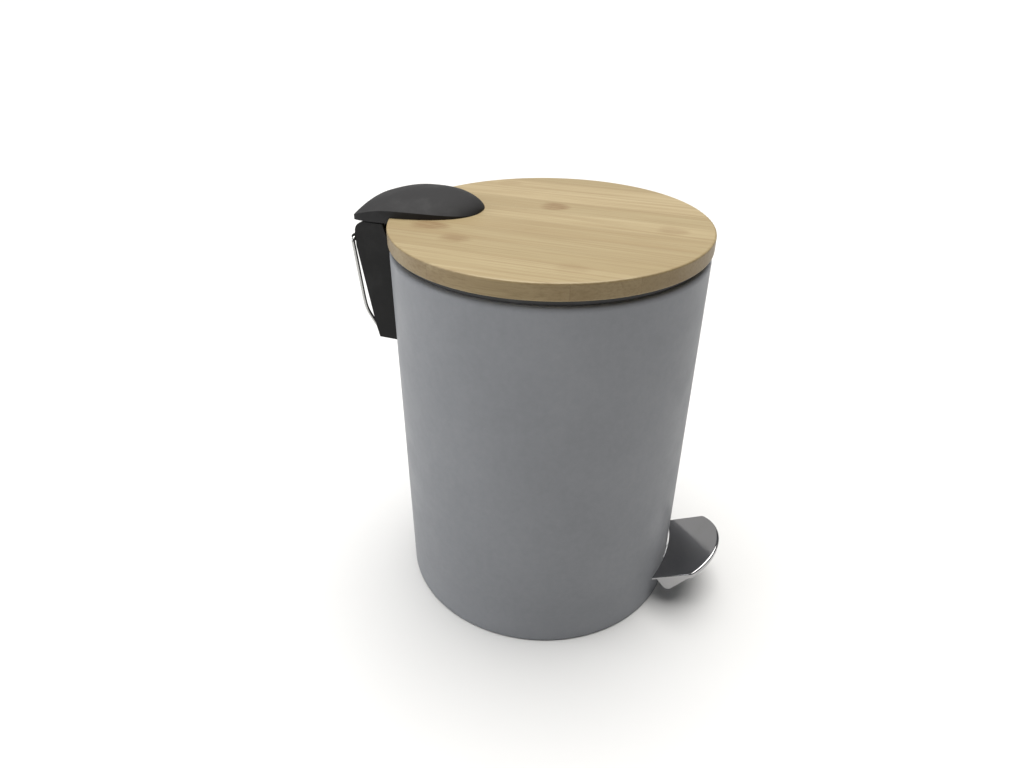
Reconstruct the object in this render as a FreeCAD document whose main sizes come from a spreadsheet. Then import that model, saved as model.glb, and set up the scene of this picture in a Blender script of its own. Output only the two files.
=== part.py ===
"""Pedal bin with a round steel can, a bamboo lid and a rear hinge housing.

Frame: millimetres, +Z up, origin on the floor under the centre of the can.
The hinge is at +Y and the pedal at -Y.

Pressing the pedal turns the lever about its axle, the lever's rear end lifts the rod,
and the rod lifts the arm of the lid bracket, which turns the lid about the hinge pin.
"""
import FreeCAD, Part
import Sketcher
import math
import os
import re

Vector = FreeCAD.Vector

# Driving dimensions. Every size below is an expression in these names.
SIZES = {
    # can: a rolled sheet-steel cylinder whose rim turns in over a rounded shoulder
    "can_radius": 85,
    "can_sheet": 0.6,
    "can_foot": 1,
    "rim_height": 215,
    "rim_round": 3,
    "rim_inner": 79.4,
    "rim_lip": 3,
    "notch_half": 13.5,
    "notch_foot": 199,
    "pedal_gap_half": 9.5,
    "pedal_gap_top": 21,
    # base
    "floor_top": 2.4,
    "base_ring_top": 14,
    "base_ring_wall": 1.8,
    "tread_inner": 74,
    "tread_outer": 80,
    "tread_depth": 1,
    # lid
    "lid_radius": 85.5,
    "lid_bottom": 218.2,
    "lid_top": 227,
    "lid_round": 1,
    "bumper_gap": 0.3,
    "bumper_radius": 2,
    "bumper_circle": 80.2,
    # lid hinge
    "hinge_y": 96.5,
    "hinge_z": 217,
    "hinge_pin_radius": 2,
    "hinge_pin_half": 27,
    "running_gap": 0.08,
    "barrel_radius": 4,
    "barrel_half": 24.9,
    "backing_half": 19,
    # lid bracket and its lift arm
    "plate_bottom": 216,
    "plate_half": 12,
    "plate_front": 46,
    "arm_half": 2,
    "slot_half": 2.35,
    "lift_half_angle": 35,
    # housing on the back of the can
    "housing_half": 28,
    "housing_wall": 2.4,
    "housing_bottom": 154.6,
    "housing_foot_y": 93.3,
    "housing_knee_y": 95,
    "housing_knee_z": 161.6,
    "housing_back": 102.5,
    "housing_bend_z": 209,
    "housing_front_y": 85.2,
    "boss_x": 15.5,
    "boss_low_z": 177,
    "boss_high_z": 195,
    "boss_radius": 3,
    "screw_radius": 1.5,
    "screw_head_radius": 2.8,
    "screw_seat_y": 81.2,
    "guide_front": 75.6,
    "low_boss_end": 96.6,
    "high_boss_end": 99.6,
    "hole_short": 1.6,
    # hinge cap
    "cap_bottom": 224,
    "cap_wall": 2,
    "cap_back": 101.9,
    "cap_half": 28.9,
    "cap_plan_power": 2.25,
    "cap_crown_power": 1.78,
    "cap_screw_bite": 6,
    "cap_back_half": 28,
    "cap_widest_y": 97,
    "cap_nose_length": 57.95,
    "cap_crown_y": 62.3,
    "cap_crown_z": 237,
    "cap_crown_reach": 23.7,
    "cap_back_z": 230.2,
    "cap_edge_y": 79.4,
    "cap_edge_z": 230.75,
    "cap_edge_reach": 39.4,
    "cap_back_edge_z": 226.7,
    "cap_boss_top": 234.4,
    # lift rod
    "rod_radius": 1.5,
    "rod_x": 10.6,
    "rod_y": 79.5,
    "rod_foot": 8,
    "clip_radius": 3.5,
    # pedal and lever
    "axle_y": -60,
    "axle_z": 14,
    "axle_radius": 2,
    "axle_half": 12,
    "ear_gap_half": 8.2,
    "bracket_sheet": 1.5,
    "bracket_length": 14,
    "bracket_top": 19,
    "lever_half": 7,
    "lever_sheet": 1.5,
    "lever_end_radius": 3.6,
    "lever_knee_y": -86,
    "lever_knee_z": 18.4,
    "lever_tip_y": -110,
    "pedal_half": 27.9,
    "pedal_tip": -116,
    "pedal_corner": 4,
    "pedal_nose_radius": 38.5,
    "pedal_rear_radius": 86,
    "pedal_sheet": 1.2,
    "pedal_rear_z": 22.7,
    "pedal_rise": 0.5,
    "skirt_depth": 3.6,
    "skirt_front_y": -102,
    "skirt_rear_y": -84.5,
    "skirt_foot_z": 14.5,
    # carry handle
    "handle_wire": 1,
    "handle_y": 107,
    "handle_z": 211.3,
    "handle_half": 24,
    "ear_inner": 19,
    "ear_outer": 21.7,
    "ear_radius": 2.1,
    # inner bucket
    "bucket_top_radius": 71,
    "bucket_foot_radius": 64,
    "bucket_wall": 1.5,
    "bucket_floor": 40,
    "ledge_z": 212.5,
    "bucket_rim_z": 217,
    "bail_wire": 1.1,
    "bail_circle": 72.1,
    "bail_z": 215.3,
}

doc = FreeCAD.newDocument("pedal_bin")
sheet = doc.addObject("Spreadsheet::Sheet", "sizes")
for row, (alias, number) in enumerate(SIZES.items(), start=1):
    sheet.set(f"A{row}", alias)
    sheet.set(f"B{row}", str(number))
    sheet.setAlias(f"B{row}", alias)
doc.recompute()


def value(text):
    """The number that an expression in the sheet's names comes to."""
    return float(sheet.evalExpression(str(text)))


def bound(text):
    """The same expression, as another object of the document writes it."""
    functions = ("sqrt", "sin", "cos")
    return re.sub(
        r"[a-z]\w*",
        lambda word: word.group() if word.group() in functions else f"sizes.{word.group()}",
        str(text),
    )


# ---------------------------------------------------------------- sketches and features

def new_body(label):
    body = doc.addObject("PartDesign::Body", label)
    body.Label = label
    return body


def draw_circle(sketch, centre_u, centre_v, radius):
    centre = Vector(value(centre_u), value(centre_v), 0)
    index = sketch.addGeometry(Part.Circle(centre, Vector(0, 0, 1), value(radius)), False)
    for kind, text in (("DistanceX", centre_u), ("DistanceY", centre_v)):
        place = Sketcher.Constraint(kind, -1, 1, index, 3, value(text))
        sketch.setExpression(f"Constraints[{sketch.addConstraint(place)}]", bound(text))
    size = Sketcher.Constraint("Radius", index, value(radius))
    sketch.setExpression(f"Constraints[{sketch.addConstraint(size)}]", bound(radius))


def arc_between(start, end, radius, turn):
    """The shorter arc from start to end; turn is 1 for a left-hand bend, -1 for a right-hand."""
    chord = end - start
    half = chord.Length / 2
    rise = math.sqrt(max(radius ** 2 - half ** 2, 0))
    side = Vector(-chord.y, chord.x, 0).normalize()
    centre = (start + end) * 0.5 + side * rise * turn
    first, last = (start, end) if turn > 0 else (end, start)
    angles = [math.atan2(point.y - centre.y, point.x - centre.x) for point in (first, last)]
    return Part.ArcOfCircle(Part.Circle(centre, Vector(0, 0, 1), radius), *angles)


def draw_outline(sketch, corners):
    """A closed outline. A corner is (u, v), or (u, v, radius, turn) where an arc starts."""
    points = [Vector(value(corner[0]), value(corner[1]), 0) for corner in corners]
    ends = []
    for index, corner in enumerate(corners):
        start, end = points[index], points[(index + 1) % len(points)]
        if len(corner) == 2:
            edge = sketch.addGeometry(Part.LineSegment(start, end), False)
            ends.append((edge, 1, 2))
            continue
        radius, turn = corner[2:]
        edge = sketch.addGeometry(arc_between(start, end, value(radius), turn), False)
        ends.append((edge, 1, 2) if turn > 0 else (edge, 2, 1))
        size = Sketcher.Constraint("Radius", edge, value(radius))
        sketch.setExpression(f"Constraints[{sketch.addConstraint(size)}]", bound(radius))
    for index, (edge, first, last) in enumerate(ends):
        following, its_first, _ = ends[(index + 1) % len(ends)]
        sketch.addConstraint(Sketcher.Constraint("Coincident", edge, last, following, its_first))
        for kind, text in zip(("DistanceX", "DistanceY"), corners[index]):
            place = Sketcher.Constraint(kind, -1, 1, edge, first, value(text))
            sketch.setExpression(f"Constraints[{sketch.addConstraint(place)}]", bound(text))


def sketch_on(body, plane, name, outlines=(), circles=(), offset="0"):
    """A sketch on one of the body's own origin planes, moved along the plane's normal."""
    sketch = body.newObject("Sketcher::SketchObject", name)
    support = next(f for f in body.Origin.OriginFeatures if f.Role == plane)
    sketch.AttachmentSupport = (support, "")
    sketch.MapMode = "FlatFace"
    sketch.setExpression("AttachmentOffset.Base.z", bound(offset))
    for outline in outlines:
        draw_outline(sketch, outline)
    for circle in circles:
        draw_circle(sketch, *circle)
    return sketch


def pad(body, sketch, length, symmetric=False, reverse=False):
    feature = body.newObject("PartDesign::Pad", sketch.Name + "_pad")
    feature.Profile = sketch
    feature.SideType = "Symmetric" if symmetric else "One side"
    feature.Reversed = reverse
    feature.setExpression("Length", bound(length))
    doc.recompute()
    return feature


def pocket(body, sketch, length, symmetric=False, reverse=False):
    """A cut that must take something away, so that a wrong direction can't pass unseen."""
    before = body.Shape.Volume
    feature = body.newObject("PartDesign::Pocket", sketch.Name + "_pocket")
    feature.Profile = sketch
    feature.SideType = "Symmetric" if symmetric else "One side"
    feature.Reversed = reverse
    feature.setExpression("Length", bound(length))
    doc.recompute()
    if body.Shape.Volume > before - 0.01:
        raise RuntimeError(f"{sketch.Name} cuts nothing")
    return feature


def revolve(body, sketch):
    feature = body.newObject("PartDesign::Revolution", sketch.Name + "_revolve")
    feature.Profile = sketch
    feature.ReferenceAxis = (sketch, ["V_Axis"])
    feature.Angle = 360
    doc.recompute()
    return feature


def round_edges(body, name, radius, wanted):
    """A fillet on the edges of the body that wanted() picks."""
    names = [f"Edge{i}" for i, edge in enumerate(body.Shape.Edges, start=1) if wanted(edge)]
    if not names:
        raise RuntimeError(f"{name} finds no edge")
    base = body.Tip
    feature = body.newObject("PartDesign::Fillet", name)
    feature.Base = (base, names)
    feature.setExpression("Radius", bound(radius))
    doc.recompute()
    return feature


def box_outline(left, bottom, right, top):
    return [(left, bottom), (right, bottom), (right, top), (left, top)]


def round_end(at, distance, half):
    """A half-round end. at(distance, side) is a point along and to the right of a direction."""
    return [
        (*at(distance, half), half, 1),
        (*at(f"{distance} + {half}", "0"), half, 1),
        at(distance, f"-({half})"),
    ]


def slot_outline(at, near, far, half):
    return [
        at(near, half),
        *round_end(at, far, half),
        (*at(near, f"-({half})"), half, 1),
        (*at(f"{near} - {half}", "0"), half, 1),
    ]


# ---------------------------------------------------------------- simple turned pieces

TURNS = {
    "X": FreeCAD.Rotation(Vector(0, 0, 1), Vector(1, 0, 0)),
    "Y": FreeCAD.Rotation(Vector(0, 0, 1), Vector(0, 1, 0)),
    "Z": FreeCAD.Rotation(),
}


def cylinder(name, radius, length, centre, axis="Z"):
    """A cylinder that starts at centre and runs along +axis."""
    made = doc.addObject("Part::Cylinder", name)
    made.setExpression("Radius", bound(radius))
    made.setExpression("Height", bound(length))
    made.Placement = FreeCAD.Placement(Vector(*map(value, centre)), TURNS[axis])
    for letter, text in zip("xyz", centre):
        made.setExpression(f"Placement.Base.{letter}", bound(text))
    return made


def fused(name, shapes):
    made = doc.addObject("Part::MultiFuse", name)
    made.Shapes = shapes
    return made


def cut(name, base, tool):
    made = doc.addObject("Part::Cut", name)
    made.Base = base
    made.Tool = tool
    return made


def group(label, shapes):
    """Identical loose pieces, kept as separate solids of one sub-part."""
    made = doc.addObject("Part::Compound", label)
    made.Label = label
    made.Links = shapes
    return made


def screw(name, head, head_length, shank_length, axis):
    """A round-headed screw: head is the centre of the head's outer face."""
    step = {"X": 0, "Y": 1, "Z": 2}[axis]
    under = list(head)
    under[step] = f"{head[step]} + {head_length}"
    return fused(name, [
        cylinder(f"{name}_head", "screw_head_radius", head_length, head, axis),
        cylinder(f"{name}_shank", "screw_radius", shank_length, under, axis),
    ])


def ring(name, inner, outer, thickness, centre, axis):
    return cut(
        name,
        cylinder(f"{name}_disc", outer, thickness, centre, axis),
        cylinder(f"{name}_hole", inner, thickness, centre, axis),
    )


# ---------------------------------------------------------------- bent wire

def bent_path(points, bends):
    """Straight runs through points, joined by a tangent arc at each inner point."""
    edges = []
    start = points[0]
    for before, corner, after, bend in zip(points, points[1:], points[2:], bends):
        back = (before - corner).normalize()
        ahead = (after - corner).normalize()
        half_angle = back.getAngle(ahead) / 2
        reach = bend / math.tan(half_angle)
        middle = (back + ahead).normalize()
        centre = corner + middle * (bend / math.sin(half_angle))
        entry, leave = corner + back * reach, corner + ahead * reach
        edges.append(Part.LineSegment(start, entry).toShape())
        edges.append(Part.Arc(entry, centre - middle * bend, leave).toShape())
        start = leave
    edges.append(Part.LineSegment(start, points[-1]).toShape())
    return edges


def wire_piece(label, edges, radius):
    """A round wire swept along joined edges."""
    path = Part.Wire(edges)
    start = path.OrderedVertexes[0].Point
    heading = path.OrderedEdges[0].tangentAt(path.OrderedEdges[0].FirstParameter)
    section = Part.Wire(Part.Circle(start, heading, radius).toShape())
    made = doc.addObject("Part::Feature", label)
    made.Label = label
    made.Shape = path.makePipeShell([section], True, True)
    made.Placement = FreeCAD.Placement()
    return made


# ---------------------------------------------------------------- screw places

HOUSING_SCREWS = [
    (f"{sign}boss_x", height, "screw_radius")
    for sign in ("", "-") for height in ("boss_low_z", "boss_high_z")
]
LID_SCREWS = [("8", "66"), ("-8", "66"), ("0", "52")]


# ---------------------------------------------------------------- can

def can_shell():
    body = new_body("can_shell")
    inner = "can_radius - can_sheet"
    profile = [
        ("can_radius", "can_foot"),
        ("can_radius", "rim_height - rim_round", "rim_round", 1),
        ("can_radius - rim_round", "rim_height"),
        ("rim_inner", "rim_height"),
        ("rim_inner", "rim_height - rim_lip"),
        ("rim_inner + can_sheet", "rim_height - rim_lip"),
        ("rim_inner + can_sheet", "rim_height - can_sheet"),
        ("can_radius - rim_round", "rim_height - can_sheet", "rim_round - can_sheet", -1),
        (inner, "rim_height - rim_round"),
        (inner, "can_foot"),
    ]
    revolve(body, sketch_on(body, "XZ_Plane", "can_profile", [profile]))
    notch = box_outline("-notch_half", "notch_foot", "notch_half", "rim_height + 1")
    pocket(body, sketch_on(body, "XZ_Plane", "can_notch", [notch]), "can_radius + 1")
    gap = box_outline("-pedal_gap_half", "0", "pedal_gap_half", "pedal_gap_top")
    front = sketch_on(body, "XZ_Plane", "can_pedal_gap", [gap])
    pocket(body, front, "can_radius + 1", reverse=True)
    screws = sketch_on(body, "XZ_Plane", "can_screw_holes", circles=HOUSING_SCREWS)
    pocket(body, screws, "can_radius + 1")
    return body


def base_plate():
    body = new_body("base_plate")
    outer = "can_radius - can_sheet"
    profile = [
        ("0", "0"),
        ("tread_inner", "0"),
        ("tread_inner", "tread_depth"),
        ("tread_outer", "tread_depth"),
        ("tread_outer", "0"),
        (f"{outer} - 1", "0"),
        (outer, "can_foot"),
        (outer, "base_ring_top"),
        (f"{outer} - base_ring_wall", "base_ring_top"),
        (f"{outer} - base_ring_wall", "floor_top"),
        ("0", "floor_top"),
    ]
    revolve(body, sketch_on(body, "XZ_Plane", "base_profile", [profile]))
    gap = box_outline("-pedal_gap_half", "floor_top", "pedal_gap_half", "pedal_gap_top")
    front = sketch_on(body, "XZ_Plane", "base_pedal_gap", [gap])
    pocket(body, front, "can_radius + 1", reverse=True)
    gap = box_outline("-notch_half", "floor_top", "notch_half", "base_ring_top + 1")
    back = sketch_on(body, "XZ_Plane", "base_lever_gap", [gap])
    pocket(body, back, "can_radius + 1")
    heads = [("0", f"axle_y {step}", "screw_head_radius") for step in ("- 4", "+ 4")]
    seats = sketch_on(body, "XY_Plane", "base_screw_seats", circles=heads)
    pocket(body, seats, "1.2", reverse=True)
    holes = [("0", f"axle_y {step}", "screw_radius") for step in ("- 4", "+ 4")]
    shanks = sketch_on(body, "XY_Plane", "base_screw_holes", circles=holes)
    pocket(body, shanks, "floor_top", reverse=True)
    return body


def anti_slip_ring():
    body = new_body("anti_slip_ring")
    profile = box_outline("tread_inner", "0", "tread_outer", "tread_depth")
    revolve(body, sketch_on(body, "XZ_Plane", "tread_profile", [profile]))
    return body


# ---------------------------------------------------------------- inner bucket

def inner_bucket():
    body = new_body("inner_bucket")
    wall = "bucket_wall"
    profile = [
        ("0", "bucket_floor"),
        ("bucket_foot_radius", "bucket_floor"),
        ("bucket_top_radius", "ledge_z"),
        ("rim_inner - 0.4", "ledge_z"),
        ("rim_inner - 0.4", "rim_height"),
        ("rim_inner + 2.6", "rim_height"),
        ("rim_inner + 2.6", "bucket_rim_z"),
        (f"rim_inner - 0.4 - {wall}", "bucket_rim_z"),
        (f"rim_inner - 0.4 - {wall}", f"ledge_z + {wall}"),
        (f"bucket_top_radius - {wall}", f"ledge_z + {wall}"),
        (f"bucket_foot_radius - {wall}", f"bucket_floor + {wall}"),
        ("0", f"bucket_floor + {wall}"),
    ]
    revolve(body, sketch_on(body, "XZ_Plane", "bucket_profile", [profile]))
    room = box_outline("-notch_half - 0.5", "bucket_top_radius - 0.8", "notch_half + 0.5", "can_radius")
    notch = sketch_on(body, "XY_Plane", "bucket_notch", [room], offset="rim_height + 3")
    pocket(body, notch, "10")
    holes = sketch_on(body, "YZ_Plane", "bail_holes", circles=[("0", "bail_z", "bail_wire + 0.1")])
    pocket(body, holes, "2 * (rim_inner - 0.8)", symmetric=True)
    return body


def bucket_bail():
    """A half hoop of wire that lies on the bucket's ledge, its ends in the ledge's side."""
    circle, height = value("bail_circle"), value("bail_z")
    end, bend = value("rim_inner - 1"), 2.5
    hoop_start = Vector(circle, -bend, height)
    corner_turn = Part.Arc(
        Vector(circle + bend, 0, height),
        Vector(circle + bend * (1 - math.sin(math.pi / 4)), -bend * (1 - math.cos(math.pi / 4)), height),
        hoop_start,
    )
    half = [
        Part.LineSegment(Vector(end, 0, height), Vector(circle + bend, 0, height)).toShape(),
        corner_turn.toShape(),
    ]
    hoop = Part.Arc(hoop_start, Vector(0, -bend - circle, height), Vector(-circle, -bend, height))
    mirrored = [edge.mirror(Vector(), Vector(1, 0, 0)) for edge in reversed(half)]
    return wire_piece("bucket_bail", half + [hoop.toShape()] + mirrored, value("bail_wire"))


# ---------------------------------------------------------------- hinge housing

def hinge_housing():
    body = new_body("hinge_housing")
    side = [
        ("can_radius - 6", "housing_bottom"),
        ("housing_foot_y", "housing_bottom"),
        ("housing_knee_y", "housing_knee_z"),
        ("housing_back", "housing_bend_z"),
        ("housing_back", "hinge_z", "housing_back - hinge_y", 1),
        ("hinge_y", "hinge_z + housing_back - hinge_y"),
        ("housing_front_y", "hinge_z + housing_back - hinge_y"),
        ("housing_front_y - 2.4", "rim_height"),
        ("can_radius - 6", "rim_height"),
    ]
    pad(body, sketch_on(body, "YZ_Plane", "housing_side", [side]), "2 * housing_half", symmetric=True)
    clearance = "barrel_radius + 0.4"
    hollow = [
        ("can_radius - 7", "housing_bottom + 2.4"),
        ("88.5", "housing_bottom + 2.4"),
        ("88.5", "174.5"),
        ("95", "176.5"),
        ("hinge_y + 3.7", "housing_bend_z"),
        (f"hinge_y + {clearance}", "hinge_z", clearance, 1),
        (f"hinge_y + ({clearance}) * cos(65)", f"hinge_z + ({clearance}) * sin(65)"),
        (f"hinge_y + ({clearance}) * cos(65)", "hinge_z + 8"),
        ("can_radius - 7", "hinge_z + 8"),
    ]
    inside = sketch_on(body, "YZ_Plane", "housing_hollow", [hollow])
    pocket(body, inside, "2 * (housing_half - housing_wall)", symmetric=True)
    for name in ("low", "high"):
        height, reach = f"boss_{name}_z", f"{name}_boss_end"
        columns = [(f"{sign}boss_x", height, "boss_radius") for sign in ("", "-")]
        bosses = sketch_on(body, "XZ_Plane", f"housing_bosses_{name}", circles=columns, offset=f"-{reach}")
        pad(body, bosses, f"{reach} - can_radius + 6")
    scoop = sketch_on(body, "YZ_Plane", "housing_scoop", circles=[("98", "162", "6.6")])
    pocket(body, scoop, "2 * (housing_half - housing_wall - 0.2)", symmetric=True)
    wall = [("0", "0", "can_radius")]
    seat = sketch_on(body, "XY_Plane", "housing_seat", circles=wall, offset="rim_height")
    pocket(body, seat, "70")
    ears = [
        ("housing_back - 0.8", "handle_z - 6"),
        ("housing_back + 0.6", "handle_z - 5"),
        ("handle_y + ear_radius", "handle_z", "ear_radius", 1),
        ("handle_y", "handle_z + ear_radius"),
        ("housing_back - 0.8", "handle_z + ear_radius"),
    ]
    for name, offset in (("right", "ear_inner"), ("left", "-ear_outer")):
        lug = sketch_on(body, "YZ_Plane", f"housing_ear_{name}", [ears], offset=offset)
        pad(body, lug, "ear_outer - ear_inner")
    bore = [("handle_y", "handle_z", "handle_wire + running_gap")]
    eyes = sketch_on(body, "YZ_Plane", "housing_ear_bores", circles=bore)
    pocket(body, eyes, "2 * ear_outer", symmetric=True)
    bore = [("hinge_y", "hinge_z", "hinge_pin_radius")]
    pin = sketch_on(body, "YZ_Plane", "housing_pin_bore", circles=bore)
    pocket(body, pin, "2 * hinge_pin_half", symmetric=True)
    for name in ("low", "high"):
        holes = [(f"{sign}boss_x", f"boss_{name}_z", "screw_radius") for sign in ("", "-")]
        depth = f"hole_short - {name}_boss_end"
        drill = sketch_on(body, "XZ_Plane", f"housing_holes_{name}", circles=holes, offset=depth)
        pocket(body, drill, "30", reverse=True)
    return body


def hinge_pin():
    made = cylinder(
        "hinge_pin", "hinge_pin_radius", "2 * hinge_pin_half",
        ("-hinge_pin_half", "hinge_y", "hinge_z"), "X",
    )
    made.Label = "hinge_pin"
    return made


def backing_plate():
    body = new_body("backing_plate")
    outer, inner = "can_radius - can_sheet", "can_radius - can_sheet - 1.2"
    half = "backing_half"
    band = [
        (half, f"sqrt(({inner}) ^ 2 - {half} ^ 2)"),
        (half, f"sqrt(({outer}) ^ 2 - {half} ^ 2)", outer, 1),
        (f"-{half}", f"sqrt(({outer}) ^ 2 - {half} ^ 2)"),
        (f"-{half}", f"sqrt(({inner}) ^ 2 - {half} ^ 2)", inner, -1),
    ]
    pad(body, sketch_on(body, "XY_Plane", "backing_band", [band], offset="168"), "36")
    notch = box_outline("-notch_half", "notch_foot", "notch_half", "rim_height")
    pocket(body, sketch_on(body, "XZ_Plane", "backing_notch", [notch]), "can_radius + 1")
    pocket(body, sketch_on(body, "XZ_Plane", "backing_holes", circles=HOUSING_SCREWS), "can_radius + 1")
    return body


def housing_screws():
    """Four screws from inside the can; the low right one also holds the rod guide."""
    low, high = "low_boss_end - hole_short", "high_boss_end - hole_short"
    places = [
        ("boss_x", "guide_front - 1.6", "boss_low_z", f"{low} - guide_front"),
        ("-boss_x", "screw_seat_y - 1.6", "boss_low_z", f"{low} - screw_seat_y"),
        ("boss_x", "screw_seat_y - 1.6", "boss_high_z", f"{high} - screw_seat_y"),
        ("-boss_x", "screw_seat_y - 1.6", "boss_high_z", f"{high} - screw_seat_y"),
    ]
    return group("housing_screws", [
        screw(f"housing_screw_{i}", (x, y, z), "1.6", reach, "Y")
        for i, (x, y, z, reach) in enumerate(places)
    ])


def rod_guide():
    """Plastic block on the backing plate, bored for the rod and for one housing screw."""
    body = new_body("rod_guide")
    wall = "(can_radius - can_sheet - 1.2)"
    block = [
        ("rod_x - 3.5", f"sqrt({wall} ^ 2 - (rod_x - 3.5) ^ 2)"),
        ("rod_x - 3.5", "guide_front"),
        ("backing_half", "guide_front"),
        ("backing_half", f"sqrt({wall} ^ 2 - backing_half ^ 2)", wall, 1),
    ]
    outline = sketch_on(body, "XY_Plane", "guide_block", [block], offset="boss_low_z - 6")
    pad(body, outline, "12")
    bore = sketch_on(
        body, "XY_Plane", "guide_bore",
        circles=[("rod_x", "rod_y", "rod_radius + running_gap")], offset="boss_low_z - 6",
    )
    pocket(body, bore, "12", reverse=True)
    hole = [("boss_x", "boss_low_z", "screw_radius")]
    pocket(body, sketch_on(body, "XZ_Plane", "guide_screw_hole", circles=hole), "can_radius")
    return body


# ---------------------------------------------------------------- lid

def lid_board():
    body = new_body("lid_board")
    disc = sketch_on(body, "XY_Plane", "lid_disc", circles=[("0", "0", "lid_radius")], offset="lid_bottom")
    pad(body, disc, "lid_top - lid_bottom")
    round_edges(body, "lid_edges", "lid_round", lambda edge: isinstance(edge.Curve, Part.Circle))
    holes = [(x, y, "screw_radius") for x, y in LID_SCREWS]
    drill = sketch_on(body, "XY_Plane", "lid_holes", circles=holes, offset="lid_bottom")
    pocket(body, drill, "lid_top - lid_bottom", reverse=True)
    return body


def on_arm(distance, side):
    """A point of the lift arm: distance from the hinge pin, side above the arm's centre line."""
    return (
        f"hinge_y - ({distance}) * cos(lift_half_angle) - ({side}) * sin(lift_half_angle)",
        f"hinge_z - ({distance}) * sin(lift_half_angle) + ({side}) * cos(lift_half_angle)",
    )


def lid_bracket():
    """Plate under the lid board, barrel on the hinge pin and slotted arm for the rod."""
    body = new_body("lid_bracket")
    plate = [
        ("-plate_half", "hinge_y"),
        ("-plate_half", "plate_front + 8", "8", 1),
        ("-plate_half + 8", "plate_front"),
        ("plate_half - 8", "plate_front", "8", 1),
        ("plate_half", "plate_front + 8"),
        ("plate_half", "hinge_y"),
    ]
    base = sketch_on(body, "XY_Plane", "bracket_plate", [plate], offset="plate_bottom")
    pad(body, base, "lid_bottom - plate_bottom")
    outside = [("hinge_y", "hinge_z", "barrel_radius")]
    barrel = sketch_on(body, "YZ_Plane", "bracket_barrel", circles=outside)
    pad(body, barrel, "2 * barrel_half", symmetric=True)
    near = "(hinge_y - rod_y)"
    far = f"{near} / cos(lift_half_angle)"
    edge = "(slot_half + 1.8)"
    arm = [on_arm("2", edge), *round_end(on_arm, far, edge), on_arm("2", f"-{edge}")]
    web = sketch_on(body, "YZ_Plane", "bracket_arm", [arm])
    pad(body, web, "2 * arm_half", symmetric=True)
    slot = slot_outline(on_arm, near, far, "slot_half")
    pocket(body, sketch_on(body, "YZ_Plane", "bracket_slot", [slot]), "2 * arm_half", symmetric=True)
    bore = [("hinge_y", "hinge_z", "hinge_pin_radius + running_gap")]
    pin = sketch_on(body, "YZ_Plane", "bracket_bore", circles=bore)
    pocket(body, pin, "2 * barrel_half", symmetric=True)
    holes = [(x, y, "screw_radius") for x, y in LID_SCREWS]
    drill = sketch_on(body, "XY_Plane", "bracket_holes", circles=holes, offset="plate_bottom")
    pocket(body, drill, "lid_bottom - plate_bottom", reverse=True)
    return body


def cap_half_width(y):
    """The cap's plan: half an ellipse at the front, a gentle taper behind its widest place."""
    if value(y) <= value("cap_widest_y"):
        return (
            f"cap_half * (1 - ((cap_widest_y - {y}) / cap_nose_length) ^ cap_plan_power)"
            " ^ (1 / cap_plan_power)"
        )
    return (
        "cap_half - (cap_half - cap_back_half)"
        f" * (({y} - cap_widest_y) / (cap_back - cap_widest_y)) ^ 2"
    )


def cap_crown(y):
    """Height of the cap along its middle: a full nose, then a long fall to the back."""
    if value(y) <= value("cap_crown_y"):
        return (
            "lid_top + (cap_crown_z - lid_top)"
            f" * (1 - ((cap_crown_y - {y}) / cap_crown_reach) ^ cap_crown_power)"
            " ^ (1 / cap_crown_power)"
        )
    return (
        "cap_crown_z - (cap_crown_z - cap_back_z)"
        f" * (({y} - cap_crown_y) / (cap_back - cap_crown_y)) ^ 2"
    )


def cap_edge(y):
    """Height of the edge where the upright side meets the domed top."""
    if value(y) <= value("cap_edge_y - cap_edge_reach"):
        return "lid_top + 0.1"
    if value(y) <= value("cap_edge_y"):
        return f"cap_edge_z - (cap_edge_z - lid_top - 0.1) * ((cap_edge_y - {y}) / cap_edge_reach) ^ 2"
    return (
        "cap_edge_z - (cap_edge_z - cap_back_edge_z)"
        f" * (({y} - cap_edge_y) / (cap_back - cap_edge_y)) ^ 2"
    )


def cap_stations(behind, nose_angle):
    """Places along the cap from back to front, even round the nose's half ellipse."""
    back = [
        f"(cap_back + {behind} - (cap_back + {behind} - cap_widest_y) * {step} / 4)"
        for step in range(4)
    ]
    nose = [
        f"(cap_widest_y - cap_nose_length * sin({nose_angle} * {step} / 8))"
        for step in range(9)
    ]
    return back + nose


def cap_sections(body, name, stations, inset):
    """Arched cross-sections of the cap, or of the hollow in it, from back to front."""
    sections = []
    for index, y in enumerate(stations):
        half = f"({cap_half_width(y)} - {inset})"
        edge = f"({cap_edge(y)} - {inset})"
        rise = f"({cap_crown(y)} - {inset} - {edge})"
        arch = [
            (f"-{half}", f"cap_bottom - {inset}"),
            (half, f"cap_bottom - {inset}"),
            (half, edge, f"({half} ^ 2 + {rise} ^ 2) / (2 * {rise})", 1),
            (f"-{half}", edge),
        ]
        sections.append(sketch_on(body, "XZ_Plane", f"{name}_{index}", [arch], offset=f"-{y}"))
    return sections


def loft(body, kind, name, sections):
    feature = body.newObject(kind, name)
    feature.Profile = sections[0]
    feature.Sections = sections[1:]
    doc.recompute()
    return feature


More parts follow.
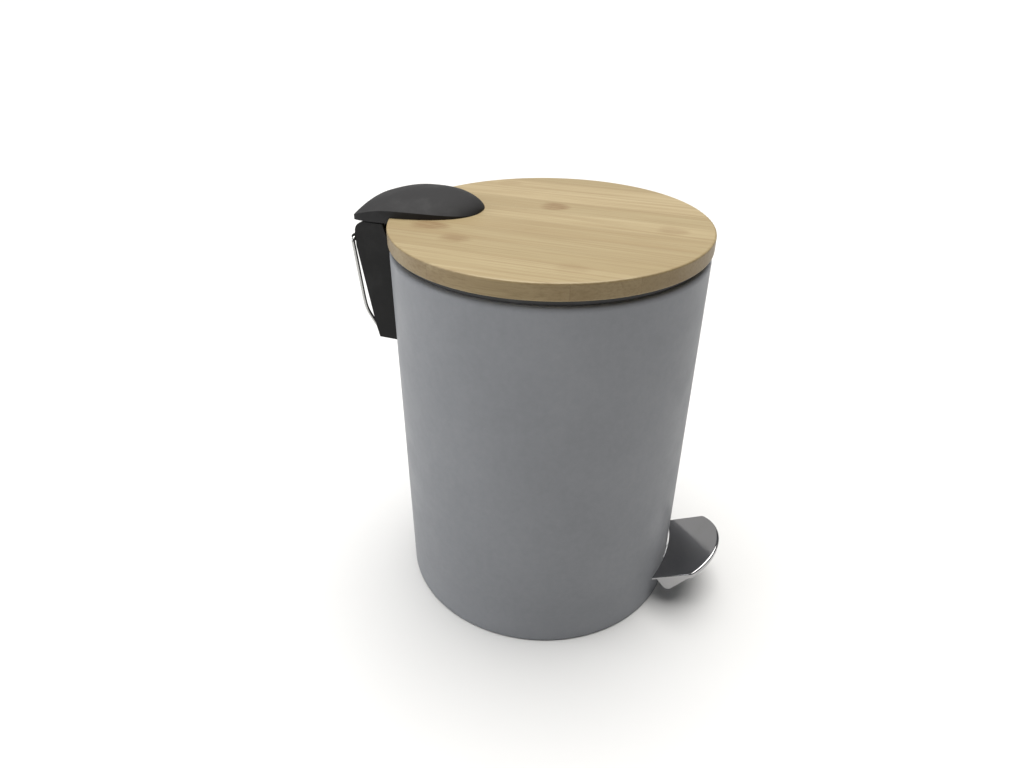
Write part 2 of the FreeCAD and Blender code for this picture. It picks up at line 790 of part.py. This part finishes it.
def hinge_cap():
    body = new_body("hinge_cap")
    outside = cap_sections(body, "cap_outside", cap_stations("0", "87.5"), "0")
    loft(body, "PartDesign::AdditiveLoft", "cap_dome", outside)
    inside = cap_sections(body, "cap_inside", cap_stations("0.5", "63"), "cap_wall")
    loft(body, "PartDesign::SubtractiveLoft", "cap_hollow", inside)
    board = sketch_on(
        body, "XY_Plane", "cap_seat", circles=[("0", "0", "lid_radius + 0.1")], offset="lid_top",
    )
    pocket(body, board, "lid_top - cap_bottom + 1")
    columns = [(x, y, "boss_radius") for x, y in LID_SCREWS]
    bosses = sketch_on(body, "XY_Plane", "cap_bosses", circles=columns, offset="lid_top")
    pad(body, bosses, "cap_boss_top - lid_top")
    holes = [(x, y, "screw_radius") for x, y in LID_SCREWS]
    drill = sketch_on(body, "XY_Plane", "cap_holes", circles=holes, offset="lid_top")
    pocket(body, drill, "cap_screw_bite", reverse=True)
    return body


def lid_screws():
    reach = "lid_top - plate_bottom + cap_screw_bite"
    return group("lid_screws", [
        screw(f"lid_screw_{i}", (x, y, "plate_bottom - 1.6"), "1.6", reach, "Z")
        for i, (x, y) in enumerate(LID_SCREWS)
    ])


def lid_bumpers():
    """Soft pads that come down on the bucket's rim."""
    places = [
        (f"bumper_circle * cos({angle})", f"bumper_circle * sin({angle})")
        for angle in (-135, -45, 20, 160)
    ]
    return group("lid_bumpers", [
        cylinder(
            f"lid_bumper_{i}", "bumper_radius", "lid_bottom - bucket_rim_z - bumper_gap",
            (x, y, "bucket_rim_z + bumper_gap"),
        )
        for i, (x, y) in enumerate(places)
    ])


# ---------------------------------------------------------------- pedal

def pedal_top(y, drop="0"):
    return f"pedal_rear_z - pedal_rear_radius * pedal_rise - ({y}) * pedal_rise - {drop}"


def pedal_block(name, inset, drop):
    """The pedal's outer shape, or with an inset and a drop the space under its sheet."""
    body = new_body(name)
    half, nose = f"(pedal_half - {inset})", f"(pedal_nose_radius - {inset})"
    rear = f"-sqrt(pedal_rear_radius ^ 2 - {half} ^ 2)" if inset == "0" else "-78"
    corner_y = f"(pedal_tip + pedal_nose_radius - sqrt({nose} ^ 2 - {half} ^ 2))"
    plan = [
        (f"-{half}", rear),
        (f"-{half}", corner_y, nose, 1),
        (half, corner_y),
        (half, rear, "pedal_rear_radius", -1) if inset == "0" else (half, rear),
    ]
    pad(body, sketch_on(body, "XY_Plane", f"{name}_plan", [plan]), "60")
    front = value(corner_y)

    def at_front_corner(edge):
        return all(abs(vertex.Y - front) < 0.01 for vertex in edge.Vertexes) and edge.Length > 50

    round_edges(body, f"{name}_corners", f"pedal_corner - {inset}", at_front_corner)
    above = [
        ("-130", pedal_top("-130", drop)),
        ("-70", pedal_top("-70", drop)),
        ("-70", "70"),
        ("-130", "70"),
    ]
    pocket(body, sketch_on(body, "YZ_Plane", f"{name}_top", [above]), "3 * pedal_half", symmetric=True)
    return body


PEDAL_DROP = "pedal_sheet * sqrt(1 + pedal_rise ^ 2)"


def pedal_plate():
    """Sheet-steel pedal: a rising plate with a turned-down skirt and a deep lug on each side."""
    block = pedal_block("pedal_block", "0", "0")
    below = [
        ("-130", "-1"),
        ("-70", "-1"),
        ("-70", pedal_top("-70", "1.6")),
        ("skirt_rear_y", pedal_top("skirt_rear_y", "1.6")),
        ("skirt_rear_y - 3.9", "skirt_foot_z + 1.2", "3", -1),
        ("skirt_rear_y - 8.4", "skirt_foot_z + 0.8"),
        ("skirt_front_y", pedal_top("skirt_front_y", "skirt_depth")),
        ("-130", pedal_top("-130", "skirt_depth")),
    ]
    skirt = sketch_on(block, "YZ_Plane", "pedal_skirt_line", [below])
    pocket(block, skirt, "3 * pedal_half", symmetric=True)
    slope = value("pedal_rise")

    def on_top_rim(edge):
        middle = edge.valueAt((edge.FirstParameter + edge.LastParameter) / 2)
        level = value("pedal_rear_z") - (value("pedal_rear_radius") + middle.y) * slope
        beyond_can = math.hypot(middle.x, middle.y) > value("pedal_rear_radius") + 0.5
        return abs(middle.z - level) < 0.01 and beyond_can

    round_edges(block, "pedal_rim_round", "pedal_sheet - 0.1", on_top_rim)
    space = pedal_block("pedal_space", "pedal_sheet", PEDAL_DROP)
    made = cut("pedal_plate", block, space)
    made.Label = "pedal_plate"
    return made


def on_lever(distance, side):
    """A point of the lever's rear end: distance behind the rod, side below it."""
    return f"rod_y + {distance}", f"rod_foot - {side}"


def pedal_lever():
    """Steel channel: under the pedal, over the axle, and back to the foot of the rod."""
    body = new_body("pedal_lever")
    under, flat = PEDAL_DROP, "lever_knee_y - 6"
    end = "lever_end_radius"
    side = [
        *round_end(on_lever, "0", end),
        ("axle_y", "axle_z + 4.2"),
        ("lever_knee_y", "lever_knee_z"),
        (flat, pedal_top(flat, under)),
        ("lever_tip_y", pedal_top("lever_tip_y", under)),
        ("lever_tip_y", pedal_top("lever_tip_y", under) + " - 3"),
        ("lever_knee_y - 5", "lever_knee_z - 3.4"),
        ("axle_y", "axle_z - 4"),
    ]
    pad(body, sketch_on(body, "YZ_Plane", "lever_side", [side]), "2 * lever_half", symmetric=True)
    skin = "lever_sheet"
    hollow = [
        ("rod_y + 8", "-2"),
        ("rod_y + 8", f"rod_foot + {end} - {skin} - 0.4"),
        ("axle_y", f"axle_z + 4.2 - {skin}"),
        ("lever_knee_y", f"lever_knee_z - {skin}"),
        (flat, pedal_top(flat, under) + f" - {skin}"),
        ("lever_tip_y - 2", pedal_top("lever_tip_y - 2", under) + f" - {skin}"),
        ("lever_tip_y - 2", "-2"),
    ]
    inside = sketch_on(body, "YZ_Plane", "lever_hollow", [hollow])
    pocket(body, inside, "2 * (lever_half - lever_sheet)", symmetric=True)
    bore = [("axle_y", "axle_z", "axle_radius + running_gap")]
    axle = sketch_on(body, "YZ_Plane", "lever_bore", circles=bore)
    pocket(body, axle, "2 * lever_half", symmetric=True)
    slot = slot_outline(on_lever, "-0.2", "1", "(rod_radius + 0.25)")
    pocket(body, sketch_on(body, "YZ_Plane", "lever_slot", [slot]), "2 * lever_half", symmetric=True)
    return body


def pivot_bracket():
    """Steel U bracket on the base whose two ears carry the pedal axle."""
    body = new_body("pivot_bracket")
    outer, sheet_top = "(ear_gap_half + bracket_sheet)", "(floor_top + bracket_sheet)"
    profile = [
        (f"-{outer}", "floor_top"),
        (outer, "floor_top"),
        (outer, "bracket_top"),
        ("ear_gap_half", "bracket_top"),
        ("ear_gap_half", sheet_top),
        ("-ear_gap_half", sheet_top),
        ("-ear_gap_half", "bracket_top"),
        (f"-{outer}", "bracket_top"),
    ]
    front = "-axle_y - bracket_length / 2"
    pad(body, sketch_on(body, "XZ_Plane", "bracket_profile", [profile], offset=front), "bracket_length")
    top = value("bracket_top")

    def on_ear_corner(edge):
        level = all(abs(vertex.Z - top) < 0.01 for vertex in edge.Vertexes)
        return level and abs(edge.Vertexes[0].Y - edge.Vertexes[-1].Y) < 0.01

    round_edges(body, "bracket_ear_rounds", "bracket_length / 2 - 1", on_ear_corner)
    hole = sketch_on(body, "YZ_Plane", "bracket_axle_hole", circles=[("axle_y", "axle_z", "axle_radius")])
    pocket(body, hole, f"2 * {outer}", symmetric=True)
    holes = [("0", f"axle_y {step}", "screw_radius") for step in ("- 4", "+ 4")]
    pocket(body, sketch_on(body, "XY_Plane", "bracket_screw_holes", circles=holes), "6", reverse=True)
    return body


def bracket_screws():
    return group("bracket_screws", [
        screw(f"bracket_screw_{i}", ("0", f"axle_y {step}", "0.2"), "1", "3.7", "Z")
        for i, step in enumerate(("- 4", "+ 4"))
    ])


def pedal_axle():
    made = cylinder("pedal_axle", "axle_radius", "2 * axle_half", ("-axle_half", "axle_y", "axle_z"), "X")
    made.Label = "pedal_axle"
    return made


def axle_clips():
    outer = "ear_gap_half + bracket_sheet + 0.2"
    return group("axle_clips", [
        ring("axle_clip_right", "axle_radius", "4", "1", (outer, "axle_y", "axle_z"), "X"),
        ring("axle_clip_left", "axle_radius", "4", "1", (f"-({outer} + 1)", "axle_y", "axle_z"), "X"),
    ])


# ---------------------------------------------------------------- wires

def rod_top():
    return "hinge_z - (hinge_y - rod_y) * sin(lift_half_angle) / cos(lift_half_angle)"


def lift_rod():
    """Upright wire with a sideways hook at each end: the arm's slot above, the lever below."""
    x, y, top, foot = (value(text) for text in ("rod_x", "rod_y", rod_top(), "rod_foot"))
    points = [Vector(-3.6, y, top), Vector(x, y, top), Vector(x, y, foot), Vector(-9, y, foot)]
    return wire_piece("lift_rod", bent_path(points, (3, 3)), value("rod_radius"))


def rod_clips():
    return group("rod_clips", [
        ring("rod_clip_top", "rod_radius", "clip_radius", "0.8", ("-3.2", "rod_y", rod_top()), "X"),
        ring("rod_clip_foot", "rod_radius", "clip_radius", "0.8", ("-8.3", "rod_y", "rod_foot"), "X"),
    ])


def carry_handle():
    """Wire loop that hangs down the back of the housing, its low bar in the finger recess."""
    half, y, z = value("handle_half"), value("handle_y"), value("handle_z")
    side = [(y, z), (y - 3.2, z - 33.8), (y - 4.2, z - 41.6), (y - 10.7, z - 52.3)]
    arm = [Vector(half, *place) for place in side]
    end = Vector(value("ear_inner") - 0.5, y, z)
    mirrored = [Vector(-point.x, point.y, point.z) for point in reversed([end] + arm)]
    bends = (2, 60, 18, 2.5)
    path = bent_path([end] + arm + mirrored, bends + bends[::-1])
    return wire_piece("carry_handle", path, value("handle_wire"))


# ---------------------------------------------------------------- check and write

PIECES = [
    can_shell, base_plate, anti_slip_ring, inner_bucket, bucket_bail,
    hinge_housing, hinge_pin, backing_plate, rod_guide, housing_screws,
    lid_board, lid_bracket, hinge_cap, lid_screws, lid_bumpers,
    pedal_plate, pedal_lever, pivot_bracket, bracket_screws, pedal_axle, axle_clips,
    lift_rod, rod_clips, carry_handle,
]


def check(pieces):
    doc.recompute()
    failed = [made.Name for made in doc.Objects if {"Invalid", "Error"} & set(made.State)]
    failed += [
        piece.Label for piece in pieces
        if piece.Shape.isNull() or not piece.Shape.isValid() or not piece.Shape.Solids
    ]
    if failed:
        raise RuntimeError(f"these did not build: {failed}")


def write(pieces):
    os.makedirs("parts", exist_ok=True)
    for piece in pieces:
        piece.Shape.exportStep(f"parts/{piece.Label}.step")
        box = piece.Shape.BoundBox
        print(f"{piece.Label:16s} {len(piece.Shape.Solids)} {piece.Shape.Volume:10.1f} mm3 "
              f"x {box.XMin:.1f}..{box.XMax:.1f} y {box.YMin:.1f}..{box.YMax:.1f} "
              f"z {box.ZMin:.1f}..{box.ZMax:.1f}")


made = [piece() for piece in PIECES]
check(made)
write(made)
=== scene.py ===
import math

import bpy
from mathutils import Matrix, Vector

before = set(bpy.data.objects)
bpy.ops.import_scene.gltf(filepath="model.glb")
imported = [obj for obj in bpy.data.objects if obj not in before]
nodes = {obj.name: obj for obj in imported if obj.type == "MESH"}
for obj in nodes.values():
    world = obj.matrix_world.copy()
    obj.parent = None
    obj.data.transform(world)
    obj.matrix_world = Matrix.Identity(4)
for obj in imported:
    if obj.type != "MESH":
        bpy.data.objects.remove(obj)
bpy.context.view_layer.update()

scene = bpy.context.scene


# ---------------------------------------------------------------- shader helpers

class Shader:
    """A Principled material and short calls for the nodes that feed it."""

    def __init__(self, name):
        self.material = bpy.data.materials.new(name)
        self.material.use_nodes = True
        self.tree = self.material.node_tree
        self.surface = self.tree.nodes["Principled BSDF"]
        self.place = self.tree.nodes.new("ShaderNodeTexCoord").outputs["Object"]
        self.facing = self.place.node.outputs["Normal"]

    def feed(self, socket, value):
        """Link a socket, or set a constant."""
        if isinstance(value, bpy.types.NodeSocket):
            self.tree.links.new(value, socket)
        elif isinstance(value, (tuple, list)) and len(value) == 3 and socket.type == "RGBA":
            socket.default_value = (*value, 1)
        else:
            socket.default_value = value

    def set(self, **values):
        """Inputs of the Principled shader, with _ for each space in their names."""
        for name, value in values.items():
            self.feed(self.surface.inputs[name.replace("_", " ")], value)

    def node(self, kind, inputs=(), **settings):
        made = self.tree.nodes.new(kind)
        for name, value in settings.items():
            setattr(made, name, value)
        for name, value in dict(inputs).items():
            self.feed(made.inputs[name], value)
        return made

    def stretch(self, scale, place=None):
        """place, or object coordinates, times scale per axis."""
        mapped = self.node("ShaderNodeMapping", {"Vector": place or self.place, "Scale": scale})
        return mapped.outputs[0]

    def noise(self, scale, detail=4.0, rough=0.55, place=None):
        """Noise from 0 to 1. scale is cells per metre, one number or one per axis."""
        scale = scale if isinstance(scale, tuple) else (scale,) * 3
        made = self.node("ShaderNodeTexNoise", {
            "Vector": self.stretch(scale, place), "Scale": 1.0, "Detail": detail, "Roughness": rough,
        })
        return made.outputs["Fac"]

    def math(self, operation, a, b=0.0):
        """One Math node on one or two values, each a number or a socket."""
        made = self.node("ShaderNodeMath", operation=operation)
        for socket, value in zip(made.inputs, (a, b)):
            self.feed(socket, value)
        return made.outputs[0]

    def ramp(self, value, low, high, to_low=0.0, to_high=1.0, smooth=True):
        """value from low..high to to_low..to_high, held at the ends."""
        made = self.node(
            "ShaderNodeMapRange",
            {
                "Value": value, "From Min": low, "From Max": high,
                "To Min": to_low, "To Max": to_high,
            },
            interpolation_type="SMOOTHSTEP" if smooth else "LINEAR",
        )
        return made.outputs[0]

    def mix(self, amount, a, b, blend="MIX"):
        """Colour a to colour b as amount goes from 0 to 1."""
        made = self.node("ShaderNodeMix", data_type="RGBA", blend_type=blend)
        for index, value in ((0, amount), (6, a), (7, b)):
            self.feed(made.inputs[index], value)
        return made.outputs[2]

    def split(self, vector):
        """The three parts of a vector."""
        made = self.node("ShaderNodeSeparateXYZ", {"Vector": vector})
        return made.outputs[0], made.outputs[1], made.outputs[2]

    def bump(self, height, depth):
        """depth is in metres for a height of 1."""
        made = self.node("ShaderNodeBump", {"Height": height, "Strength": 1.0, "Distance": depth})
        return made.outputs[0]


CAN_DARK, CAN_LIGHT = (0.194, 0.201, 0.214), (0.254, 0.261, 0.276)
CAN_DUST = (0.5, 0.5, 0.49)
# Painted bounce light: the paler colour near the floor and the height over which it fades out.
CAN_BOUNCE_LIGHT, BOUNCE_HEIGHT = (0.29, 0.30, 0.32), 0.03


def can_paint():
    """Satin grey coating, faintly mottled, dusty, with painted bounce light: a little paler just above
    the floor.
    """
    s = Shader("can_coating")
    height = s.split(s.place)[2]
    mottle = s.math("MULTIPLY", s.math("SUBTRACT", s.noise(260.0, 4.0, 0.7), 0.5), 0.7)
    cloud = s.math("ADD", s.noise(16.0, 4.0), mottle)
    peel = s.noise(900.0, 2.0)
    dust = s.ramp(s.noise(420.0, 6.0, 0.7), 0.62, 0.8)
    colour = s.mix(cloud, CAN_DARK, CAN_LIGHT)
    # Painted bounce light from the floor: the coating is made paler towards its bottom edge.
    low = s.ramp(height, 0.0, BOUNCE_HEIGHT, 0.35, 0.0)
    colour = s.mix(s.math("MULTIPLY", dust, 0.12), colour, CAN_DUST)
    colour = s.mix(low, colour, CAN_BOUNCE_LIGHT)
    s.set(Base_Color=colour, Roughness=s.ramp(s.noise(60.0, 5.0), 0.3, 0.7, 0.46, 0.56), IOR=1.3)
    s.set(Coat_Weight=0.07, Coat_Roughness=0.2, Normal=s.bump(peel, 0.000012))
    return s.material


STRIP_WIDTH, STRIP_SHIFT = 0.0185, 0.0045
STRIP_DARK, STRIP_LIGHT, STRIP_RED = (0.308, 0.239, 0.124), (0.430, 0.350, 0.200), (0.365, 0.278, 0.152)
FLOW_TONE, FIBRE_TONE, VEIN_TONE = (0.282, 0.206, 0.100), (0.238, 0.168, 0.079), (0.19, 0.125, 0.056)
KNUCKLE_TONE, JOINT_TONE = (0.205, 0.130, 0.056), (0.21, 0.14, 0.07)
# Darker tint for sides and edges: partly the darker end grain, partly painted shade where faces turn
# away from the light above.
EDGE_GRAIN_AND_SHADE_TINT = (0.73, 0.68, 0.585)
# Each knuckle: centre x and y, half width and half length in metres, and strength.
KNUCKLES = [
    (0.0235, 0.004, 0.0085, 0.010, 1.3), (-0.0300, 0.055, 0.0085, 0.013, 1.2),
    (-0.0440, 0.035, 0.0080, 0.010, 0.8), (0.0050, -0.064, 0.0090, 0.010, 0.5),
    (-0.0620, -0.030, 0.0080, 0.010, 0.30), (0.0610, 0.045, 0.0080, 0.010, 0.35),
]


def bamboo():
    """Strips side by side with their fibres along Y, a few of them crossed by a knuckle."""
    s = Shader("bamboo")
    x, y, z = s.split(s.place)
    warp = s.math("MULTIPLY", s.math("SUBTRACT", s.noise((3.0, 9.0, 3.0), 2.0), 0.5), 0.0024)
    strips = s.math("DIVIDE", s.math("ADD", x, STRIP_SHIFT), STRIP_WIDTH)
    strip = s.math("FLOOR", strips)
    random = s.node("ShaderNodeTexWhiteNoise", {"W": strip}, noise_dimensions="1D")
    tone = random.outputs["Value"]
    redness = s.split(random.outputs["Color"])[0]
    shifted = s.node("ShaderNodeCombineXYZ", {
        0: s.math("ADD", x, warp), 1: s.math("ADD", y, s.math("MULTIPLY", tone, 0.7)), 2: z,
    }).outputs[0]
    fibre = s.noise((950.0, 14.0, 950.0), 5.0, 0.6, place=shifted)
    vein = s.noise((2600.0, 55.0, 2600.0), 2.0, 0.5, place=shifted)
    flow = s.noise((130.0, 7.0, 130.0), 3.0, 0.5, place=shifted)
    colour = s.mix(tone, STRIP_DARK, STRIP_LIGHT)
    colour = s.mix(s.ramp(redness, 0.45, 1.0, 0.0, 0.5), colour, STRIP_RED)
    colour = s.mix(s.ramp(flow, 0.35, 0.7, 0.0, 0.75), colour, FLOW_TONE)
    colour = s.mix(s.ramp(fibre, 0.4, 0.72, 0.0, 0.6), colour, FIBRE_TONE)
    colour = s.mix(s.ramp(vein, 0.6, 0.78, 0.0, 0.4), colour, VEIN_TONE)
    mark = None
    for at_x, at_y, wide, long, strength in KNUCKLES:
        u = s.math("DIVIDE", s.math("SUBTRACT", x, at_x), wide)
        v = s.math("DIVIDE", s.math("SUBTRACT", y, at_y), long)
        v = s.math("SUBTRACT", v, s.math("MULTIPLY", s.math("MULTIPLY", u, u), 0.35))
        far = s.math("ADD", s.math("MULTIPLY", u, u), s.math("MULTIPLY", v, v))
        spot = s.math("MULTIPLY", s.ramp(far, 0.0, 1.0, 1.0, 0.0), strength)
        mark = spot if mark is None else s.math("MAXIMUM", mark, spot)
    streak = s.ramp(s.noise((700.0, 60.0, 700.0), 4.0, 0.6, place=shifted), 0.35, 0.62)
    mark = s.math("MULTIPLY", mark, s.math("ADD", s.math("MULTIPLY", streak, 0.6), 0.4))
    colour = s.mix(mark, colour, KNUCKLE_TONE)
    from_middle = s.math("ABSOLUTE", s.math("SUBTRACT", s.math("FRACT", strips), 0.5))
    joint = s.ramp(from_middle, 0.492, 0.5)
    colour = s.mix(s.math("MULTIPLY", joint, 0.4), colour, JOINT_TONE)
    # Faces that don't look up are darkened: partly end grain, partly painted shade on the lid's sides.
    upward = s.math("ABSOLUTE", s.split(s.facing)[2])
    side_grain_and_shade = s.ramp(upward, 0.75, 0.35)
    colour = s.mix(side_grain_and_shade, colour, s.mix(1.0, colour, EDGE_GRAIN_AND_SHADE_TINT, "MULTIPLY"))
    relief = s.math("ADD", s.math("MULTIPLY", fibre, 0.6), s.math("MULTIPLY", vein, 0.4))
    relief = s.math("SUBTRACT", relief, joint)
    rough = s.ramp(fibre, 0.3, 0.7, 0.44, 0.56, False)
    rough = s.math("ADD", rough, s.math("MULTIPLY", mark, 0.1))
    s.set(Base_Color=colour, Roughness=rough, IOR=1.45, Normal=s.bump(relief, 0.00004))
    s.set(Coat_Weight=0.12, Coat_Roughness=0.35)
    return s.material


def plastic(name, dark, light, roughness, ior=1.5, grain=1800.0, depth=0.00002):
    """Moulded plastic with a fine sparked texture, a little paler and shinier where it is rubbed."""
    s = Shader(name)
    spark = s.noise(grain, 3.0, 0.6)
    worn = s.ramp(s.noise(38.0, 6.0, 0.65), 0.45, 0.75)
    speck = s.ramp(s.noise(2600.0, 2.0, 0.5), 0.68, 0.8)
    colour = s.mix(worn, dark, light)
    colour = s.mix(s.math("MULTIPLY", speck, 0.15), colour, tuple(min(1.0, 3.0 * c) for c in light))
    rough = s.ramp(worn, 0.0, 1.0, roughness + 0.04, roughness - 0.05, False)
    s.set(Base_Color=colour, Roughness=rough, IOR=ior, Normal=s.bump(spark, depth))
    return s.material


def metal(name, base, roughness, grain, depth, along, stain=(0.4, 0.4, 0.38)):
    """Bare or plated metal: drawn or rubbed lines, and a faint film of handling marks."""
    s = Shader(name)
    lines = s.noise(tuple(grain * a for a in along), 4.0, 0.65)
    film = s.ramp(s.noise(70.0, 5.0, 0.6), 0.42, 0.72)
    fine = s.ramp(s.noise(tuple(2.5 * grain * a for a in reversed(along)), 2.0), 0.6, 0.8)
    colour = s.mix(s.math("MULTIPLY", film, 0.25), base, stain)
    rough = s.ramp(film, 0.0, 1.0, roughness, roughness * 1.7, False)
    rough = s.math("ADD", rough, s.math("MULTIPLY", fine, 0.05))
    s.set(Metallic=1.0, Base_Color=colour, Roughness=rough, Normal=s.bump(lines, depth))
    return s.material


def rubber():
    """Soft matte rubber with pits and a film of dust."""
    s = Shader("rubber")
    pits = s.noise(2200.0, 4.0, 0.7)
    dusty = s.ramp(s.noise(160.0, 6.0, 0.7), 0.4, 0.8)
    s.set(Base_Color=s.mix(dusty, (0.022, 0.022, 0.023), (0.055, 0.054, 0.052)), IOR=1.45)
    s.set(Roughness=s.ramp(dusty, 0.0, 1.0, 0.72, 0.9, False), Normal=s.bump(pits, 0.00005))
    return s.material


PAINT = can_paint()
BAMBOO = bamboo()
BLACK = plastic("black_plastic", (0.0042, 0.0041, 0.0040), (0.0085, 0.0082, 0.0080), 0.66, 1.36)
CAP = plastic("cap_plastic", (0.0125, 0.0120, 0.0128), (0.0185, 0.0180, 0.0185), 0.70, 1.40)
BUCKET = plastic("bucket_plastic", (0.020, 0.020, 0.021), (0.032, 0.032, 0.033), 0.42, grain=1100.0)
POLISHED = metal("polished_steel", (0.42, 0.415, 0.42), 0.10, 900.0, 0.000002, (1.0, 0.35, 1.0))
WIRE = metal("bright_wire", (0.44, 0.44, 0.43), 0.24, 1400.0, 0.000006, (1.0, 0.2, 0.2))
ZINC = metal(
    "zinc_plate", (0.60, 0.61, 0.62), 0.30, 1200.0, 0.000008, (1.0, 0.3, 1.0), stain=(0.42, 0.41, 0.36)
)
RUBBER = rubber()

FINISH = {
    "can_shell": PAINT, "lid_board": BAMBOO,
    "base_plate": BUCKET, "inner_bucket": BUCKET,
    "hinge_housing": BLACK, "hinge_cap": CAP, "rod_guide": BLACK,
    "anti_slip_ring": RUBBER, "lid_bumpers": RUBBER,
    "pedal_plate": POLISHED, "carry_handle": WIRE, "bucket_bail": WIRE,
}
for name, node in nodes.items():
    node.data.materials.clear()
    node.data.materials.append(FINISH.get(name, ZINC))


# ---------------------------------------------------------------- floor, light and camera

FLOOR_HALF = 20.0
FILL_STRENGTH = 0.12
SKY_ENERGY, SKY_SPREAD, SKY_FROM = 5.0, math.radians(62), (0.15, 0.03, 1)
SENSOR_WIDTH, LENS, NEAREST = 36.0, 24.525, 0.01
CAMERA_PLACE = (-0.34473, -0.10535, 0.34227)
CAMERA_RIGHT, CAMERA_UP = (0.34658, -0.93801, 0.00459), (0.48194, 0.18226, 0.85703)

corners = [(x * FLOOR_HALF, y * FLOOR_HALF, 0) for x, y in ((-1, -1), (1, -1), (1, 1), (-1, 1))]
floor_mesh = bpy.data.meshes.new("floor")
floor_mesh.from_pydata(corners, [], [(0, 1, 2, 3)])
floor = bpy.data.objects.new("floor", floor_mesh)
scene.collection.objects.link(floor)
pale = Shader("floor")
paper = pale.mix(pale.noise(3.0, 3.0), (0.63, 0.63, 0.627), (0.65, 0.65, 0.647))
pale.set(Base_Color=paper, Roughness=0.75, Normal=pale.bump(pale.noise(700.0, 3.0), 0.00002))
floor.data.materials.append(pale.material)

# The world looks like a plain pale backdrop, but lights the scene only as a faint fill.
world = bpy.data.worlds.new("studio")
scene.world = world
world.use_nodes = True
fill = world.node_tree.nodes["Background"]
fill.inputs["Color"].default_value = (0.93, 0.96, 1.0, 1)
fill.inputs["Strength"].default_value = FILL_STRENGTH
backdrop = world.node_tree.nodes.new("ShaderNodeBackground")
backdrop.inputs["Color"].default_value = (1, 1, 1, 1)
seen = world.node_tree.nodes.new("ShaderNodeLightPath").outputs["Is Camera Ray"]
either = world.node_tree.nodes.new("ShaderNodeMixShader")
for source, socket in ((seen, 0), (fill.outputs[0], 1), (backdrop.outputs[0], 2)):
    world.node_tree.links.new(source, either.inputs[socket])
world_output = world.node_tree.nodes["World Output"]
world.node_tree.links.new(either.outputs[0], world_output.inputs["Surface"])


def softbox(name, place, target, size, power, colour):
    """An area light that lights and is reflected, but is not itself in any picture."""
    light = bpy.data.lights.new(name, "AREA")
    light.shape, light.size, light.size_y = "RECTANGLE", *size
    light.energy, light.color = power, colour
    made = bpy.data.objects.new(name, light)
    made.location, made.visible_camera = place, False
    made.rotation_euler = (Vector(target) - Vector(place)).to_track_quat("-Z", "Y").to_euler()
    scene.collection.objects.link(made)


sky_light = bpy.data.lights.new("sky", "SUN")
sky_light.energy, sky_light.angle, sky_light.color = SKY_ENERGY, SKY_SPREAD, (1.0, 0.985, 0.96)
sky = bpy.data.objects.new("sky", sky_light)
sky.rotation_euler = Vector(SKY_FROM).to_track_quat("Z", "Y").to_euler()
scene.collection.objects.link(sky)
softbox("window", (-0.75, 1.35, 0.75), (0, 0, 0.12), (1.1, 0.9), 11, (0.95, 0.97, 1.0))
softbox("wall", (3.0, 1.6, 0.95), (0, 0, 0.1), (4.0, 1.9), 10, (1.0, 0.99, 0.97))

lens = bpy.data.cameras.new("camera")
lens.sensor_width, lens.lens, lens.clip_start = SENSOR_WIDTH, LENS, NEAREST
camera = bpy.data.objects.new("camera", lens)
right, up = Vector(CAMERA_RIGHT), Vector(CAMERA_UP)
turn = Matrix((right, up, right.cross(up))).transposed().to_4x4()
camera.matrix_world = Matrix.Translation(CAMERA_PLACE) @ turn
scene.collection.objects.link(camera)
scene.camera = camera
scene.view_settings.view_transform = "Standard"
